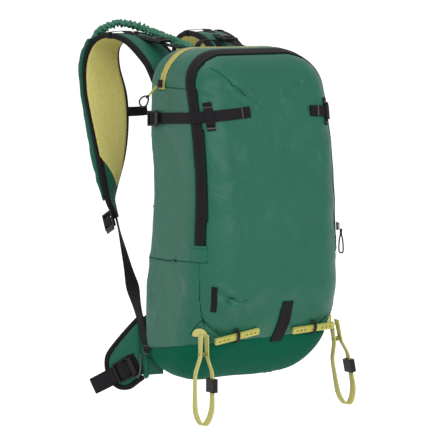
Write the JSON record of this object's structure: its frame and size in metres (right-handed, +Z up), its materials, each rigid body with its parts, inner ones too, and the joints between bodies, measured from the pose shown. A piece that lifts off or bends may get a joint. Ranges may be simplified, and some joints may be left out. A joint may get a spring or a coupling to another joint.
{
  "type": "ski backpack",
  "caption": "Small ski-touring backpack with curved zips, compression straps, hanging ski loops, toggle bars, padded harness, hip wings and a haul loop.",
  "frame": {"origin": "where the haul loop bears on a hook, inside the top of its arch", "axes": "+Z up along the bag, +Y towards the wearer's back, -Y out of the front panel, +X to the right of someone facing the front panel"},
  "size_m": [0.3386, 0.3865, 0.5836],
  "materials": {
    "fabric_green": "woven nylon",
    "zip_black": "coated zip tape",
    "zip_yellow": "coated zip tape",
    "webbing_black": "woven webbing",
    "buckle_plastic": "moulded acetal",
    "slider_metal": "die-cast, black",
    "pull_cord": "braided cord",
    "webbing_yellow": "woven webbing",
    "toggle_plastic": "moulded",
    "back_foam": "moulded foam under mesh",
    "framesheet_plastic": "HDPE sheet",
    "stay_aluminium": "brushed",
    "lining_fabric": "coated nylon"
  },
  "bodies": {
    "bag": {"aluminium_stay": "stay_aluminium", "back_foam_pad": "back_foam", "back_panel": "fabric_green", "bottom_boot": "fabric_green", "centre_strip": "webbing_black", "framesheet": "framesheet_plastic", "front_panel": "fabric_green", "front_zip_tape": "zip_black", "haul_loop": "webbing_black", "hose_sleeve": "fabric_green", "left_compression_webbing": "webbing_black", "left_keeper_loop": "webbing_black", "left_lifter_webbing": "webbing_black", "left_lower_webbing": "webbing_black", "left_shoulder_strap": "fabric_green", "left_side_panel": "fabric_green", "left_sternum_rail": "buckle_plastic", "left_wing_piping": "webbing_black", "reservoir_sleeve": "lining_fabric", "right_compression_webbing": "webbing_black", "right_keeper_loop": "webbing_black", "right_lifter_webbing": "webbing_black", "right_lower_webbing": "webbing_black", "right_shoulder_strap": "fabric_green", "right_side_panel": "fabric_green", "right_sternum_rail": "buckle_plastic", "right_wing_piping": "webbing_black", "short_strip": "webbing_black", "strap_hose_sleeve": "fabric_green", "top_panel": "fabric_green", "top_zip_tape": "zip_yellow"},
    "left_hip": {"left_hip_wing": "fabric_green", "left_hip_lock": "buckle_plastic"},
    "right_hip": {"right_hip_wing": "fabric_green", "right_hip_lock": "buckle_plastic"},
    "left_belt": {"left_hip_webbing": "webbing_black", "hip_socket": "buckle_plastic"},
    "right_belt": {"right_hip_webbing": "webbing_black", "hip_prongs": "buckle_plastic"},
    "left_sternum": {"left_sternum_webbing": "webbing_black", "sternum_socket": "buckle_plastic"},
    "right_sternum": {"right_sternum_webbing": "webbing_black"},
    "sternum_clip": {"sternum_prongs": "buckle_plastic"},
    "left_compression_ladder": {"left_compression_lock": "buckle_plastic"},
    "right_compression_ladder": {"right_compression_lock": "buckle_plastic"},
    "left_lifter_ladder": {"left_lifter_lock": "buckle_plastic"},
    "right_lifter_ladder": {"right_lifter_lock": "buckle_plastic"},
    "left_strap_ladder": {"left_strap_lock": "buckle_plastic"},
    "right_strap_ladder": {"right_strap_lock": "buckle_plastic"},
    "left_loop": {"left_ski_loop": "webbing_yellow"},
    "right_loop": {"right_ski_loop": "webbing_yellow"},
    "left_adjuster": {"left_loop_adjuster": "buckle_plastic"},
    "right_adjuster": {"right_loop_adjuster": "buckle_plastic"},
    "left_bar": {"left_toggle": "toggle_plastic"},
    "right_bar": {"right_toggle": "toggle_plastic"},
    "front_slider": {"front_zip_slider": "slider_metal"},
    "front_pull": {"front_zip_pull": "pull_cord"},
    "top_slider": {"top_zip_slider": "slider_metal"},
    "top_pull": {"top_zip_pull": "pull_cord"}
  },
  "joints": [
    {"name": "left_wing_hinge", "type": "hinge", "parent": "bag", "child": "left_hip", "pos_m": [-0.117, -0.005, -0.503], "axis": [0, 0, 1], "range_deg": [-45, 2]},
    {"name": "right_wing_hinge", "type": "hinge", "parent": "bag", "child": "right_hip", "pos_m": [0.117, -0.005, -0.503], "axis": [0, 0, 1], "range_deg": [-2, 45]},
    {"name": "left_belt_slide", "type": "slide", "parent": "left_hip", "child": "left_belt", "axis": [-0.414, 0.7787, -0.4714], "range_m": [-0.012, 0.012]},
    {"name": "right_belt_slide", "type": "slide", "parent": "right_hip", "child": "right_belt", "axis": [0.414, 0.7787, -0.4714], "range_m": [-0.012, 0.012]},
    {"name": "left_sternum_height", "type": "slide", "parent": "bag", "child": "left_sternum", "axis": [0, 0.4222, 0.9065], "range_m": [-0.026, 0.006]},
    {"name": "right_sternum_height", "type": "slide", "parent": "bag", "child": "right_sternum", "axis": [0, 0.4222, 0.9065], "range_m": [-0.026, 0.006]},
    {"name": "sternum_release", "type": "slide", "parent": "right_sternum", "child": "sternum_clip", "axis": [1, 0, 0], "range_m": [0, 0.015]},
    {"name": "left_compression_tilt", "type": "hinge", "parent": "bag", "child": "left_compression_ladder", "pos_m": [-0.12942, -0.03421, -0.11049], "axis": [0.0414, 0.0598, 0.9973], "range_deg": [-30, 0]},
    {"name": "right_compression_tilt", "type": "hinge", "parent": "bag", "child": "right_compression_ladder", "pos_m": [0.12942, -0.03421, -0.11049], "axis": [0.0414, -0.0598, -0.9973], "range_deg": [-30, 0]},
    {"name": "left_lifter_tilt", "type": "hinge", "parent": "bag", "child": "left_lifter_ladder", "pos_m": [-0.0613, 0.02622, 0.00028], "axis": [-0.9895, -0.1426, -0.0244], "range_deg": [-25, 0]},
    {"name": "right_lifter_tilt", "type": "hinge", "parent": "bag", "child": "right_lifter_ladder", "pos_m": [0.0613, 0.02622, 0.00028], "axis": [-0.9895, 0.1426, 0.0244], "range_deg": [-25, 0]},
    {"name": "left_strap_tilt", "type": "hinge", "parent": "bag", "child": "left_strap_ladder", "pos_m": [-0.13803, 0.07092, -0.26147], "axis": [0, -0.8951, 0.446], "range_deg": [-30, 0]},
    {"name": "right_strap_tilt", "type": "hinge", "parent": "bag", "child": "right_strap_ladder", "pos_m": [0.13803, 0.07092, -0.26147], "axis": [0, 0.8951, -0.446], "range_deg": [-30, 0]},
    {"name": "left_loop_swing", "type": "hinge", "parent": "bag", "child": "left_loop", "pos_m": [-0.119, -0.16338, -0.419], "axis": [1, 0, 0], "range_deg": [-70, 8]},
    {"name": "right_loop_swing", "type": "hinge", "parent": "bag", "child": "right_loop", "pos_m": [0.119, -0.16277, -0.419], "axis": [1, 0, 0], "range_deg": [-70, 8]},
    {"name": "left_adjuster_slide", "type": "slide", "parent": "left_loop", "child": "left_adjuster", "axis": [0, 0, 1], "range_m": [-0.018, 0.009]},
    {"name": "right_adjuster_slide", "type": "slide", "parent": "right_loop", "child": "right_adjuster", "axis": [-0.2079, 0, 0.9781], "range_m": [-0.018, 0.009]},
    {"name": "left_toggle_turn", "type": "hinge", "parent": "bag", "child": "left_bar", "pos_m": [-0.066, -0.16858, -0.423], "axis": [0, -0.891, -0.454], "range_deg": [-35, 35]},
    {"name": "right_toggle_turn", "type": "hinge", "parent": "bag", "child": "right_bar", "pos_m": [0.073, -0.16858, -0.423], "axis": [0, -0.891, -0.454], "range_deg": [-35, 35]},
    {"name": "front_zip_slide", "type": "slide", "parent": "bag", "child": "front_slider", "axis": [-0.0369, 0.0072, 0.9993], "range_m": [0, 0.05]},
    {"name": "front_pull_lift", "type": "hinge", "parent": "front_slider", "child": "front_pull", "pos_m": [0.13018, -0.16148, -0.27881], "axis": [0.4722, 0.8814, 0.0111], "range_deg": [-100, 0]},
    {"name": "top_zip_run", "type": "hinge", "parent": "bag", "child": "top_slider", "pos_m": [-0.06441, -0.057, -0.064], "axis": [0, 1, 0], "range_deg": [0, 80]},
    {"name": "top_pull_lift", "type": "hinge", "parent": "top_slider", "child": "top_pull", "pos_m": [-0.12866, -0.057, -0.061], "axis": [0, -1, 0], "range_deg": [-60, 15]}
  ],
  "couplings": [
    {"joint": "right_sternum_height", "follows": "left_sternum_height", "ratio": 1}
  ]
}
